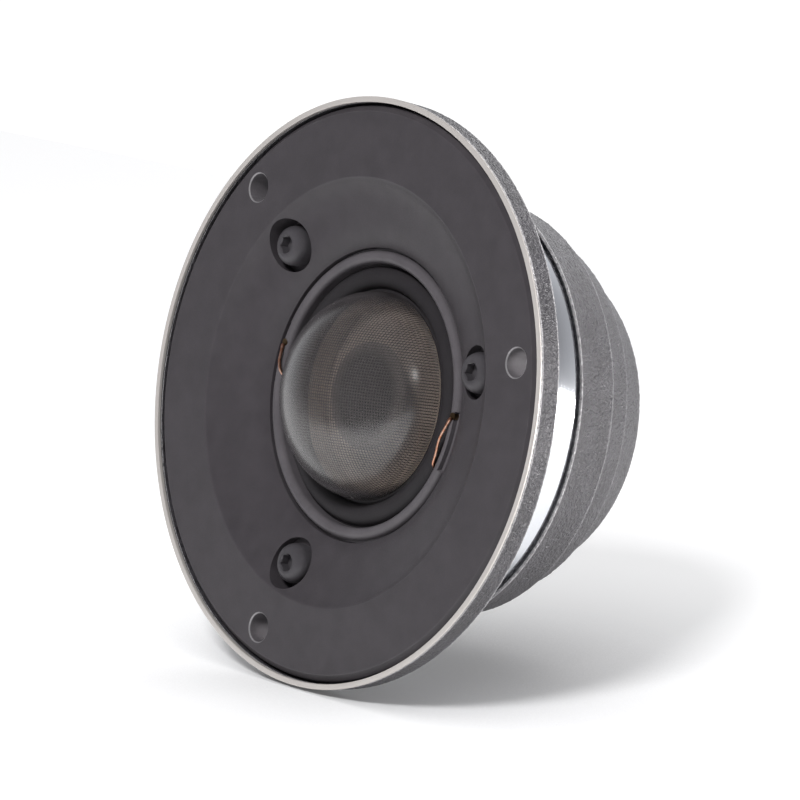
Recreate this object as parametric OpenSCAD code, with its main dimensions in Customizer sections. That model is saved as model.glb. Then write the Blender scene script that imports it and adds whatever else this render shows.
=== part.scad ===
// Flush-mount dome tweeter with a sealed rear chamber.
// Modules are drawn along +Z (towards the listener), with z = 0 on the flange's seating face.
// place() turns them into the part's frame: front along -Y, up along +Z.

/* [Flange and face] */
// Outside diameter of the mounting flange
flange_d = 80; // [78:0.5:84]
// Height of the flange's front edge above its seating face
flange_h = 3.7; // [3.4:0.1:4.2]
// Width of the bright trim at the flange's edge
trim_w = 0.78; // [0.6:0.02:1]
// How far the face plate's flat face lies behind the front edge
face_drop = 0.3; // [0.2:0.05:0.4]
// Diameter at the outer edge of the dished waveguide
dish_d = 58.2; // [57.6:0.2:58.6]
// Diameter of the waveguide's throat
throat_d = 40; // [39.8:0.1:40.4]
// Depth of the throat's edge below the front edge
throat_depth = 4.4; // [4:0.1:4.6]

/* [Fasteners] */
// Pitch circle of the panel screw holes
panel_pcd = 70; // [69:0.5:71]
// Diameter of the panel screw holes
panel_hole_d = 4.1; // [3.5:0.1:4.4]
// Pitch circle of the face plate screws
face_screw_pcd = 50.4; // [50:0.1:50.6]
// Screw thread size
screw_d = 3; // [2.5:0.5:3]
// Angle of the first screw hole
first_angle = 15; // [0:1:30]

/* [Diaphragm] */
// Diameter of the dome at its base
dome_d = 28.4; // [28:0.1:28.6]
// Height of the dome
dome_h = 11.3; // [9:0.1:11.5]
// Height of the half-roll surround
roll_h = 1.3; // [0.9:0.1:1.4]
// Height of the voice coil winding
winding_h = 2.6; // [2:0.1:3]

/* [Motor] */
// Outside diameter of the polished motor sleeve
sleeve_d = 59.3; // [59:0.05:59.5]
// Diameter of the vent through the pole
vent_d = 12.4; // [10:0.2:13]
// Thickness of the ring magnet
magnet_h = 6.5; // [6:0.1:6.8]

/* [Rear chamber] */
// Diameter of the rear shell at its front rim
shell_d = 60.7; // [60.4:0.1:61]
// Distance from the seating face to the rear shell's front rim
shell_start = 12.24; // [12:0.02:12.6]
// Distance from the seating face to the rear shell's back face
shell_end = 33.3; // [33:0.1:34.5]

/* [Hidden] */
$fn = 96;

tiny = 0.01;
curve_steps = 20;
screw_angles = [first_angle, first_angle + 120, first_angle + 240];

// Flange and face plate levels
flange_r = flange_d / 2;
flange_rear_r = flange_r - 0.29;
recess_r = flange_r - trim_w;
recess_z = 1.2;
pocket_r = 30.2;
pocket_z = -1.9;
hub_r = 32;
hub_z = -6.5;
face_z = flange_h - face_drop;
plate_r = recess_r - 0.3;
plate_flat_r = plate_r - 0.9;
plate_edge_z = face_z - 1;
dish_r = dish_d / 2;
throat_r = throat_d / 2;
throat_z = flange_h - throat_depth;

// Face plate screws
face_screw_r = face_screw_pcd / 2;
counterbore_r = 3.6;
counterbore_z = -0.4;
head_r = 2.75;
head_h = 3;
head_edge = 1.4;
head_flat_r = 1.5;
socket_af = 2.2;
socket_h = 1.4;
screw_r = screw_d / 2;
thread_r = screw_r - 0.05;
clear_r = screw_r + 0.15;
face_screw_end = -9.8;

// Motor levels, from the front to the back
top_plate_z = hub_z;
top_plate_h = 3.5;
magnet_z = top_plate_z - top_plate_h;
yoke_z = magnet_z - magnet_h;
yoke_h = 3.3;
motor_end = yoke_z - yoke_h;
top_plate_r = sleeve_d / 2 - 0.75;
magnet_r = 25.6;
magnet_bore_r = 19.9;
gap_outer_r = 14.8;
pole_r = 13.25;
pole_z = -5.8;
cap_t = 0.25;
cap_end = -11;
vent_r = vent_d / 2;
damper_r = 7.3;
damper_top = -0.8;
stem_r = 1.5;
damper_end = -10;
sleeve_r = sleeve_d / 2;
sleeve_bore_r = top_plate_r + 0.05;
sleeve_end = -13.8;

// Diaphragm
dome_r = dome_d / 2;
dome_z = -2.1;
skin = 0.3;
bond_z = dome_z - 0.2;
former_r = dome_r - 0.1;
former_t = 0.25;
former_end = -11;
winding_t = 0.35;
winding_z = top_plate_z - top_plate_h / 2;
bond_r = dome_r + 0.3;
roll_in_r = bond_r + 0.1;
roll_out_r = 17.5;
roll_r = (roll_in_r + roll_out_r) / 2;
roll_w = (roll_out_r - roll_in_r) / 2;
surround_r = 19.5;
frame_in_r = 17.5;
frame_out_r = 20.1;
lip_in_r = 17.9;
lip_out_r = 19.6;
lip_top = -0.4;
foot_r = throat_r - 0.05;
foot_top = -1.4;
lip_round = (lip_out_r - lip_in_r) / 2;

// Wiring
eyelet_r = 0.5;
eyelet_ring_r = 18.8;
eyelet_top = -0.4;
positive_angle = 0;
negative_angle = 166;
lead_r = 0.2;
wire_r = 0.55;
wire_hole_r = 0.8;
// Each lead's points: radius, angle and height
lead_positive = [[14.35, 322, -4.6], [15.3, 325.5, -4.3], [16.5, 330, -3.5], [17.1, 333.5, -2.3],
    [17.25, 336.5, -1.1], [17.3, 342, -0.7], [17.4, 348.5, -0.35], [18.2, 354.5, -0.05], [18.8, 359.5, -0.18]];
lead_negative = [[14.35, 196, -4.6], [15.3, 192.5, -4.3], [16.5, 188, -3.5], [17.1, 184.5, -2.3],
    [17.3, 181.5, -1.1], [17.9, 178, -0.25], [18.3, 174, 0], [18.4, 170.5, 0], [18.75, 166.5, -0.18]];
// Where the leads pass through the surround
lead_hole_r = 0.5;
lead_hole_ring_r = 17.15;
lead_hole_angles = [335.2, 183];

// Rear chamber
shell_r = shell_d / 2;
shell_seat_z = sleeve_end - 0.05;
shell_bore_r = magnet_r + 0.6;
gasket_t = 0.8;
shoulder_z = motor_end - gasket_t;
chamber_front_r = 22.5;
chamber_back_r = 19.8;
chamber_z = -29.5;
rear_z = -shell_end;
rear_face_r = 18.6;
rear_screw_r = 13.5;
rear_screw_angles = [75, 195, 315];
rear_head_z = rear_z + 3.1;
rear_head_pocket_r = 3.2;
column_r = 3;
rear_screw_end = -17;
felt_front = -21.5;
felt_back = -27.5;

// Terminal block and blades
block_w = 16;
block_d = 7;
block_flange_w = 19;
block_flange_d = 9.4;
block_flange_h = 1.2;
blade_x = 5.5;
blade_t = 0.8;
blade_top = -29;
blade_end = -41;
wire_level = -28.4;

function bezier(a, b, c, d, t) =
    pow(1 - t, 3) * a + 3 * pow(1 - t, 2) * t * b + 3 * (1 - t) * t * t * c + t * t * t * d;

// The waveguide's S-shaped slope, from its rim to the throat
function dish_curve() = [for (i = [0 : curve_steps])
    bezier([dish_r, face_z], [dish_r - 2.6, face_z - 2.3], [throat_r + 2.1, throat_z + 2.4],
        [throat_r, throat_z], i / curve_steps)];

// Quarter of an ellipse from its foot to the axis
function quarter(r, h, z) = [for (i = [0 : curve_steps])
    [r * cos(90 * i / curve_steps), z + h * sin(90 * i / curve_steps)]];

// Half an ellipse from its outer foot to its inner foot
function arch(mid, w, h, z) = [for (i = [0 : curve_steps])
    [mid + w * cos(180 * i / curve_steps), z + h * sin(180 * i / curve_steps)]];

function polar_point(p) = [p[0] * cos(p[1]), p[0] * sin(p[1]), p[2]];

module place() {
    rotate([90, 0, 0]) children();
}

// Ring between two radii and two heights
module ring(r_out, r_in, z_low, z_high) {
    translate([0, 0, z_low]) difference() {
        cylinder(r = r_out, h = z_high - z_low);
        translate([0, 0, -1]) cylinder(r = r_in, h = z_high - z_low + 2);
    }
}

module around(angles, radius) {
    for (a = angles) rotate([0, 0, a]) translate([radius, 0, 0]) children();
}

// Drill of radius r between two heights
module drill(r, z_low, z_high) {
    translate([0, 0, z_low]) cylinder(r = r, h = z_high - z_low, $fn = 48);
}

// Round bar from one point to another
module bar(a, b, r) {
    d = b - a;
    turn = atan2(d[1], d[0]);
    tilt = acos(d[2] / norm(d));
    translate(a) rotate([0, tilt, turn]) cylinder(r = r, h = norm(d), $fn = 24);
}

module cable(points, r) {
    for (i = [0 : len(points) - 2]) bar(points[i], points[i + 1], r);
    for (i = [1 : len(points) - 2]) translate(points[i]) sphere(r = r, $fn = 24);
}

// Smooth curve through the points, four steps to a span
function spline(p) = let (n = len(p) - 1) [for (i = [0 : 4 * n])
    let (k = min(floor(i / 4), n - 1), t = i / 4 - k,
        a = p[max(k - 1, 0)], b = p[k], c = p[k + 1], d = p[min(k + 2, n)])
    b + t / 2 * ((c - a) + t * ((2 * a - 5 * b + 4 * c - d) + t * (3 * b - a - 3 * c + d)))];

function unit(v) = v / norm(v);

// Eight-sided tube along a list of points
module tube(p, r) {
    sides = 8;
    n = len(p);
    rings = [for (i = [0 : n - 1])
        let (along = unit(p[min(i + 1, n - 1)] - p[max(i - 1, 0)]),
            side = unit(cross(along, [0, 0, 1])), up = cross(side, along))
        for (j = [0 : sides - 1]) p[i] + r * (cos(360 * j / sides) * side + sin(360 * j / sides) * up)];
    walls = [for (i = [0 : n - 2]) for (j = [0 : sides - 1]) let (k = (j + 1) % sides)
        [i * sides + j, i * sides + k, (i + 1) * sides + k, (i + 1) * sides + j]];
    ends = [[for (j = [sides - 1 : -1 : 0]) j], [for (j = [0 : sides - 1]) (n - 1) * sides + j]];
    polyhedron(points = rings, faces = concat(walls, ends), convexity = 4);
}

module wire_holes(z_low, z_high) {
    around([positive_angle, negative_angle], eyelet_ring_r) drill(wire_hole_r, z_low, z_high);
}

// Button head screw pointing along -Z, with its head's underside at z = 0
module socket_screw(shank) {
    crown = [for (p = quarter(head_r - head_flat_r, head_h - head_edge, head_edge)) p + [head_flat_r, 0]];
    difference() {
        rotate_extrude() polygon(concat([[0, 0], [head_r, 0]], crown, [[0, head_h]]));
        translate([0, 0, head_h - socket_h])
            cylinder(d = socket_af / cos(30), h = socket_h + 1, $fn = 6);
    }
    translate([0, 0, -shank]) cylinder(r = thread_r, h = shank + tiny, $fn = 48);
}

module mounting_flange() {
    profile = [[flange_rear_r, 0], [flange_r, flange_h - 0.08], [flange_r - 0.55, flange_h - 0.6],
        [recess_r, flange_h - 0.6], [recess_r, recess_z], [pocket_r, recess_z],
        [pocket_r, pocket_z], [frame_out_r + 0.1, pocket_z], [frame_out_r + 0.1, hub_z],
        [hub_r - 1.2, hub_z], [hub_r, hub_z + 1.2], [hub_r, 0]];
    color("dimgray") place() difference() {
        rotate_extrude() polygon(profile);
        around(screw_angles, panel_pcd / 2) drill(panel_hole_d / 2, -1, recess_z + 1);
        around(screw_angles, face_screw_r) drill(clear_r, hub_z - 1, 0);
    }
}

module trim_ring() {
    profile = [[recess_r, flange_h], [flange_r, flange_h - 0.08], [flange_r - 0.55, flange_h - 0.6],
        [recess_r, flange_h - 0.6]];
    color("gainsboro") place() rotate_extrude() polygon(profile);
}

module face_plate() {
    profile = concat([[plate_r, recess_z], [plate_r, plate_edge_z], [plate_r - 0.15, plate_edge_z + 0.35],
        [plate_flat_r, face_z]], dish_curve(), [[throat_r, pocket_z], [pocket_r - 0.1, pocket_z],
        [pocket_r - 0.1, recess_z]]);
    color([0.14, 0.14, 0.15]) place() difference() {
        rotate_extrude() polygon(profile);
        around(screw_angles, panel_pcd / 2) {
            drill(panel_hole_d / 2, 0, face_z + 1);
            translate([0, 0, face_z - 0.3])
                cylinder(r1 = panel_hole_d / 2, r2 = panel_hole_d / 2 + 0.4, h = 0.4, $fn = 48);
        }
        around(screw_angles, face_screw_r) {
            drill(counterbore_r, counterbore_z, face_z + 1);
            drill(clear_r, pocket_z - 1, face_z);
        }
    }
}

module face_screws() {
    color([0.1, 0.1, 0.11]) place() around(screw_angles, face_screw_r)
        translate([0, 0, counterbore_z]) socket_screw(counterbore_z - face_screw_end);
}

// Rounded ring that clamps the surround, relieved where the coil's leads cross it
module throat_ring() {
    profile = concat(arch((lip_in_r + lip_out_r) / 2, lip_round, lip_round, lip_top - lip_round),
        [[lip_in_r, bond_z], [foot_r, bond_z], [foot_r, foot_top], [lip_out_r, foot_top]]);
    color([0.2, 0.2, 0.21]) place() difference() {
        rotate_extrude() polygon(profile);
        for (start = [158, 337]) rotate([0, 0, start]) rotate_extrude(angle = 25)
            translate([19.05, lip_top - 0.75]) square([2, 2]);
        around([positive_angle, negative_angle], eyelet_ring_r) drill(eyelet_r, bond_z - 1, 1);
    }
}

module diaphragm_frame() {
    color([0.18, 0.18, 0.18]) place() difference() {
        ring(frame_out_r, frame_in_r, hub_z, bond_z - skin);
        wire_holes(hub_z - 1, 0);
    }
}

module lead_eyelets() {
    color("goldenrod") place() around([positive_angle, negative_angle], eyelet_ring_r)
        drill(eyelet_r, bond_z - skin, eyelet_top);
}

module top_plate() {
    color("silver") place() difference() {
        ring(top_plate_r, gap_outer_r, magnet_z, top_plate_z);
        around(screw_angles, face_screw_r) drill(screw_r, magnet_z - 1, 0);
        wire_holes(magnet_z - 1, 0);
    }
}

module ring_magnet() {
    color([0.5, 0.5, 0.52]) place() ring(magnet_r, magnet_bore_r, yoke_z, magnet_z);
}

module yoke() {
    color("darkgray") place() difference() {
        union() {
            drill(magnet_r, motor_end, yoke_z);
            drill(pole_r, yoke_z - tiny, pole_z);
        }
        drill(vent_r, motor_end - 1, 0);
        around(rear_screw_angles, rear_screw_r) drill(screw_r, motor_end - 1, rear_screw_end + 0.3);
        wire_holes(motor_end - 1, 0);
    }
}

module copper_cap() {
    color("peru") place() {
        ring(pole_r + cap_t, pole_r, cap_end, pole_z);
        ring(pole_r + cap_t, stem_r, pole_z, pole_z + cap_t);
    }
}

// Felt disc behind the dome, on a stem from the plug in the vent
module pole_damper() {
    profile = [[0, damper_top], [damper_r - 0.3, damper_top], [damper_r, damper_top - 0.3],
        [damper_r, damper_top - 1], [stem_r, damper_top - 1], [stem_r, pole_z], [vent_r, pole_z],
        [vent_r, damper_end], [0, damper_end]];
    color([0.08, 0.08, 0.08]) place() rotate_extrude() polygon(profile);
}

module motor_sleeve() {
    color("gainsboro") place() ring(sleeve_r, sleeve_bore_r, sleeve_end, top_plate_z);
}

// Chamber casting with three stepped bands
module rear_shell() {
    outer = [[sleeve_r + 0.04, -12.7], [shell_r - 0.25, -shell_start - 0.08], [shell_r, -shell_start - 0.35],
        [28.25, -20.2], [28, -20.55], [27.35, -20.75], [27.15, -21.1],
        [25.3, -25.45], [25.05, -25.8], [24.4, -26], [24.2, -26.35],
        [21.3, -31.3], [20.3, -32.6], [rear_face_r, rear_z]];
    inner = [[0, rear_z], [0, chamber_z], [chamber_back_r, chamber_z],
        [chamber_front_r, shoulder_z], [shell_bore_r, shoulder_z], [shell_bore_r, shell_seat_z],
        [sleeve_r + 0.04, shell_seat_z]];
    color("dimgray") place() difference() {
        union() {
            rotate_extrude() polygon(concat(outer, inner));
            around(rear_screw_angles, rear_screw_r) drill(column_r, chamber_z - tiny, motor_end);
        }
        around(rear_screw_angles, rear_screw_r) {
            drill(rear_head_pocket_r, rear_z - 1, rear_head_z);
            drill(clear_r, rear_z, 0);
        }
        translate([-block_w / 2, -block_d / 2, rear_z - 1]) cube([block_w, block_d, 10]);
    }
}

module chamber_gasket() {
    color([0.25, 0.25, 0.25]) place() ring(shell_bore_r - 0.2, chamber_front_r, shoulder_z, motor_end);
}

module chamber_felt() {
    color("whitesmoke") place() difference() {
        ring(17.6, 5, felt_back, felt_front);
        around(rear_screw_angles, rear_screw_r) drill(column_r + 0.2, felt_back - 1, felt_front + 1);
    }
}

module rear_screws() {
    color([0.1, 0.1, 0.11]) place() around(rear_screw_angles, rear_screw_r)
        translate([0, 0, rear_head_z]) rotate([180, 0, 0]) socket_screw(rear_screw_end - rear_head_z);
}

module blade(x, width) {
    translate([x - blade_t / 2, -width / 2, blade_end + 0.8]) cube([blade_t, width, blade_top - blade_end - 0.8]);
    translate([x - blade_t / 2, -width / 2 + 0.5, blade_end]) cube([blade_t, width - 1, 0.8 + tiny]);
}

module terminal_block() {
    color([0.12, 0.12, 0.12]) place() difference() {
        union() {
            translate([-block_w / 2 + 0.05, -block_d / 2 + 0.05, rear_z - block_flange_h])
                cube([block_w - 0.1, block_d - 0.1, chamber_z - rear_z + block_flange_h]);
            translate([-block_flange_w / 2, -block_flange_d / 2, rear_z - block_flange_h])
                cube([block_flange_w, block_flange_d, block_flange_h]);
        }
        blade(-blade_x, 2.8);
        blade(blade_x, 4.8);
        translate([0, 0, rear_z - block_flange_h - 1]) for (s = [-1, 1])
            translate([s * 2.2, 0, 0]) cylinder(r = 0.8, h = 10, $fn = 48);
    }
}

module terminal_positive() {
    color("gold") place() blade(blade_x, 4.8);
}

module terminal_negative() {
    color("silver") place() blade(-blade_x, 2.8);
}

module terminal_rivets() {
    color("silver") place() for (s = [-1, 1]) translate([s * 2.2, 0, 0]) {
        drill(0.8, rear_z - block_flange_h, chamber_z);
        translate([0, 0, rear_z - block_flange_h - 0.6]) cylinder(r1 = 1, r2 = 1.4, h = 0.6, $fn = 48);
    }
}

module wire_positive() {
    a = polar_point([eyelet_ring_r, positive_angle, bond_z - skin]);
    b = polar_point([eyelet_ring_r, positive_angle, wire_level]);
    color("crimson") place() cable([a, b, [blade_x + blade_t / 2, 0, wire_level]], wire_r);
}

module wire_negative() {
    a = polar_point([eyelet_ring_r, negative_angle, bond_z - skin]);
    b = polar_point([eyelet_ring_r, negative_angle, wire_level]);
    color([0.1, 0.1, 0.1]) place() cable([a, b, [-blade_x - blade_t / 2, 0, wire_level]], wire_r);
}

module dome() {
    outer = quarter(dome_r, dome_h, dome_z);
    inner = quarter(dome_r - skin, dome_h - skin, dome_z);
    profile = concat([[bond_r, bond_z], [bond_r, dome_z]], outer,
        [for (i = [curve_steps : -1 : 0]) inner[i]], [[dome_r - skin - 0.1, bond_z]]);
    color([0.3, 0.28, 0.26]) place() rotate_extrude() polygon(profile);
}

module surround() {
    outer = arch(roll_r, roll_w, roll_h, bond_z);
    inner = arch(roll_r, roll_w - skin, roll_h - skin, bond_z - tiny);
    profile = concat([[surround_r, bond_z - skin], [surround_r, bond_z]], outer,
        [[former_r + 0.02, bond_z], [former_r + 0.02, bond_z - skin], [roll_in_r + skin, bond_z - skin]],
        [for (i = [curve_steps : -1 : 0]) inner[i]], [[roll_out_r - skin, bond_z - skin]]);
    color([0.13, 0.13, 0.13]) place() difference() {
        rotate_extrude() polygon(profile);
        wire_holes(bond_z - 1, 0);
        around(lead_hole_angles, lead_hole_ring_r) drill(lead_hole_r, bond_z - 1, 0);
    }
}

module voice_coil_former() {
    color("goldenrod") place() ring(former_r, former_r - former_t, former_end, bond_z);
}

module voice_coil_winding() {
    color("peru") place()
        ring(former_r + winding_t, former_r, winding_z - winding_h / 2, winding_z + winding_h / 2);
}

module coil_leads() {
    color("peru") place() {
        tube(spline([for (p = lead_positive) polar_point(p)]), lead_r);
        tube(spline([for (p = lead_negative) polar_point(p)]), lead_r);
    }
}

mounting_flange();
trim_ring();
face_plate();
face_screws();
throat_ring();
diaphragm_frame();
lead_eyelets();
top_plate();
ring_magnet();
yoke();
copper_cap();
pole_damper();
motor_sleeve();
rear_shell();
chamber_gasket();
chamber_felt();
rear_screws();
terminal_block();
terminal_positive();
terminal_negative();
terminal_rivets();
wire_positive();
wire_negative();
dome();
surround();
voice_coil_former();
voice_coil_winding();
coil_leads();
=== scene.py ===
import math
import bmesh
import bpy
import numpy as np
from mathutils import Matrix, Vector, noise


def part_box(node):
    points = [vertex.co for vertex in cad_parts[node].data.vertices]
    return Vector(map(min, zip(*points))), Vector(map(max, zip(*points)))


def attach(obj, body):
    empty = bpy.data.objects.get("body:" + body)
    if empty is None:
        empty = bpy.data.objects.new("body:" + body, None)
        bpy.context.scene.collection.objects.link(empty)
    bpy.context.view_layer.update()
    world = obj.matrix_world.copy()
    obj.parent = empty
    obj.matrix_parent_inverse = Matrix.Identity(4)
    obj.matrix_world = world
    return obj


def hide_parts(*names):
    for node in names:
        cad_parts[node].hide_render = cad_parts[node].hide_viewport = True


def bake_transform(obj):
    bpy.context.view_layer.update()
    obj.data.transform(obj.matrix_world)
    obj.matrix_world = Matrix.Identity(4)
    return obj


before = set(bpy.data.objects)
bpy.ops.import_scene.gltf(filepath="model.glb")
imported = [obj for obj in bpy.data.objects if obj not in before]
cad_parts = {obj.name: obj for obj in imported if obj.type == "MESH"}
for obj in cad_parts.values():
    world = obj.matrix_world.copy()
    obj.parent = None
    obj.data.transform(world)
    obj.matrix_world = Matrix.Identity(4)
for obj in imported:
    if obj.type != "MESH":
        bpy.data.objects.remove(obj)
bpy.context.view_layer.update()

# Shapes are made in the part's own millimetres: x right, y up, z out of the front, 0 at the seating face.
MM = 0.001
PHI = 2 * math.pi


def to_frame(points):
    """Part millimetres to the frame's metres, with the front along -Y."""
    p = np.asarray(points, float)
    return np.stack([p[:, 0], -p[:, 2], p[:, 1]], 1) * MM


def span(node):
    """(outer radius, lowest z, highest z) of a CAD node in part millimetres."""
    low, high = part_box(node)
    return high.x / MM, -high.y / MM, -low.y / MM


# ---------------------------------------------------------------- mesh helpers
def make(name, verts, faces, sharp=35, merge=True, outward=True, edge_highlight=None):
    """Mesh object from part-millimetre vertices. The optional 0 to 1 value at each vertex is how sharply the
    surface turns outwards there, and materials use it for a painted edge highlight.
    """
    mesh = bpy.data.meshes.new(name)
    mesh.from_pydata(to_frame(verts).tolist(), [], faces)
    if edge_highlight is not None:
        mesh.attributes.new("edge_highlight", "FLOAT", "POINT").data.foreach_set("value", np.asarray(edge_highlight, np.float32))
    if merge or outward:
        b = bmesh.new()
        b.from_mesh(mesh)
        if merge:
            bmesh.ops.remove_doubles(b, verts=b.verts, dist=1e-7)
            bmesh.ops.dissolve_degenerate(b, edges=b.edges, dist=1e-8)
        if outward:
            bmesh.ops.recalc_face_normals(b, faces=b.faces)
        b.to_mesh(mesh)
        b.free()
    obj = bpy.data.objects.new(name, mesh)
    bpy.context.scene.collection.objects.link(obj)
    smooth(obj, sharp)
    return obj


def smooth(obj, sharp=35):
    """Smooth shading, with edges sharper than the angle left crisp."""
    obj.data.shade_smooth()
    obj.data.set_sharp_from_angle(angle=math.radians(sharp))


def rounded(corners, steps=5):
    """Closed profile whose (r, z, radius) corners are turned into arcs."""
    out = []
    for i, corner in enumerate(corners):
        p = Vector(corner[:2])
        radius = corner[2] if len(corner) > 2 else 0
        if not radius:
            out.append(tuple(p))
            continue
        to_a = Vector(corners[i - 1][:2]) - p
        to_b = Vector(corners[(i + 1) % len(corners)][:2]) - p
        half = to_a.angle(to_b) / 2
        reach = min(radius / math.tan(half), 0.48 * to_a.length, 0.48 * to_b.length)
        radius = reach * math.tan(half)
        centre = p + (to_a.normalized() + to_b.normalized()).normalized() * radius / math.sin(half)
        start = p + to_a.normalized() * reach - centre
        end = p + to_b.normalized() * reach - centre
        a0 = math.atan2(start.y, start.x)
        turn = (math.atan2(end.y, end.x) - a0 + math.pi) % PHI - math.pi
        for k in range(steps + 1):
            a = a0 + turn * k / steps
            out.append((centre.x + radius * math.cos(a), centre.y + radius * math.sin(a)))
    return out


def fine(profile, step, closed=True):
    """The profile with its long sides divided."""
    out = []
    n = len(profile)
    for i in range(n if closed else n - 1):
        a, b = np.array(profile[i]), np.array(profile[(i + 1) % n])
        parts = max(1, math.ceil(np.linalg.norm(b - a) / step))
        out += [tuple(a + (b - a) * k / parts) for k in range(parts)]
    return out if closed else out + [profile[-1]]


def exposure(pts):
    """How sharply a closed profile turns outwards at each point, 0 to 1."""
    ahead, behind = np.roll(pts, -1, 0) - pts, pts - np.roll(pts, 1, 0)
    turn = np.arctan2(behind[:, 0] * ahead[:, 1] - behind[:, 1] * ahead[:, 0], (behind * ahead).sum(1))
    if turn.sum() < 0:
        turn = -turn
    reach = (np.linalg.norm(ahead, axis=1) + np.linalg.norm(behind, axis=1)) / 2
    return np.clip(turn / np.maximum(reach, 0.05) / 2.5, 0, 1)


def lathe(name, profile, segments=256, closed=True, spots=((0, 0, 0),), sharp=35, relief=None, shape=None):
    """Turns (r, z) points about z, once at each (x, y, turn) spot. relief(points, normals) moves them."""
    pts = np.array(profile, float)
    n = len(pts)
    angles = np.arange(segments) * PHI / segments
    rows = n if closed else n - 1
    verts, faces = [], []
    i = np.arange(segments)[:, None]
    j = np.arange(rows)[None, :]
    i2, j2 = (i + 1) % segments, (j + 1) % n
    quads = np.stack([np.broadcast_to(x, (segments, rows)) for x in
                      (i * n + j, i2 * n + j, i2 * n + j2, i * n + j2)], -1).reshape(-1, 4)
    for count, (x, y, turn) in enumerate(spots):
        a = angles[:, None] + turn
        r = np.repeat(pts[None, :, 0], segments, 0)
        z = np.repeat(pts[None, :, 1], segments, 0)
        if shape:
            r, z = shape(r, np.repeat(a, n, 1), z)
        v = np.stack([r * np.cos(a), r * np.sin(a), z], -1).reshape(-1, 3)
        if relief:
            along = np.roll(pts, -1, 0) - np.roll(pts, 1, 0)
            along /= np.linalg.norm(along, axis=1)[:, None] + 1e-12
            nr, nz = along[:, 1], -along[:, 0]
            normals = np.stack([nr * np.cos(a), nr * np.sin(a), np.repeat(nz[None], segments, 0)], -1)
            v = v + normals.reshape(-1, 3) * relief(v)[:, None]
        verts.append(v + np.array([x, y, 0]))
        faces.append(quads + count * segments * n)
    # How sharply the profile turns outwards, kept on the mesh as the mask of a painted edge highlight
    edge_highlight = np.tile(exposure(pts), segments * len(spots)) if closed else None
    return make(name, np.concatenate(verts), np.concatenate(faces).tolist(), sharp, edge_highlight=edge_highlight)


def ring_spots(radius, angles):
    """(x, y, turn) spots on a circle, at angles in degrees."""
    return [(radius * math.cos(a), radius * math.sin(a), a) for a in map(math.radians, angles)]


def settle(obj, sharp=35):
    """Applies the object's modifiers."""
    graph = bpy.context.evaluated_depsgraph_get()
    mesh = bpy.data.meshes.new_from_object(obj.evaluated_get(graph))
    obj.modifiers.clear()
    obj.data = mesh
    smooth(obj, sharp)
    obj.modifiers.new("even", "WEIGHTED_NORMAL").keep_sharp = True


def cut(obj, *cutters):
    """Takes the cutters out of the object and removes them."""
    for c in cutters:
        m = obj.modifiers.new("cut", "BOOLEAN")
        m.operation, m.solver, m.object = "DIFFERENCE", "EXACT", c
    settle(obj)
    for c in cutters:
        bpy.data.objects.remove(c)
    return obj


def drill(radius, low, high, spots, chamfer=0.0):
    """Cutter for round holes, with a countersunk mouth at its upper end."""
    profile = [(0, low), (radius, low)]
    if chamfer:
        profile += [(radius, high - chamfer), (radius + chamfer, high)]
    profile += [(radius + chamfer, high + 1), (0, high + 1)]
    return lathe("cutter", profile, 64, spots=spots)


def rounded_box(name, low, high, bevel, segments=3):
    """Box between two corners in part millimetres, with rounded edges."""
    b = bmesh.new()
    bmesh.ops.create_cube(b, size=1)
    low, high = Vector(low), Vector(high)
    for v in b.verts:
        p = Vector([low[k] + (v.co[k] + 0.5) * (high[k] - low[k]) for k in range(3)])
        v.co = Vector(to_frame([p])[0])
    bmesh.ops.bevel(b, geom=b.edges[:], offset=bevel * MM, segments=segments, profile=0.5, affect="EDGES")
    bmesh.ops.recalc_face_normals(b, faces=b.faces)
    mesh = bpy.data.meshes.new(name)
    b.to_mesh(mesh)
    b.free()
    obj = bpy.data.objects.new(name, mesh)
    bpy.context.scene.collection.objects.link(obj)
    smooth(obj, 50)
    obj.modifiers.new("even", "WEIGHTED_NORMAL").keep_sharp = True
    return obj


def joined(name, *objs):
    """One object out of several meshes."""
    b = bmesh.new()
    for o in objs:
        b.from_mesh(o.data)
    mesh = bpy.data.meshes.new(name)
    b.to_mesh(mesh)
    b.free()
    for o in objs:
        bpy.data.objects.remove(o)
    obj = bpy.data.objects.new(name, mesh)
    bpy.context.scene.collection.objects.link(obj)
    smooth(obj)
    return obj


def fit(obj, material, slot, body, *nodes):
    """Gives a piece its material and body and hides the nodes it stands for; slot is not used."""
    obj.data.materials.clear()
    obj.data.materials.append(material)
    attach(obj, body)
    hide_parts(*nodes)
    return obj


# ---------------------------------------------------------------- materials
def linear(r, g, b):
    """0-255 display colour as linear values."""
    def one(c):
        c /= 255
        return c / 12.92 if c <= 0.04045 else ((c + 0.055) / 1.055) ** 2.4
    return (one(r), one(g), one(b), 1)


def shade(colour, factor):
    """The colour made lighter or darker."""
    return tuple(min(1, c * factor) for c in colour[:3]) + (1,)


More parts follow.
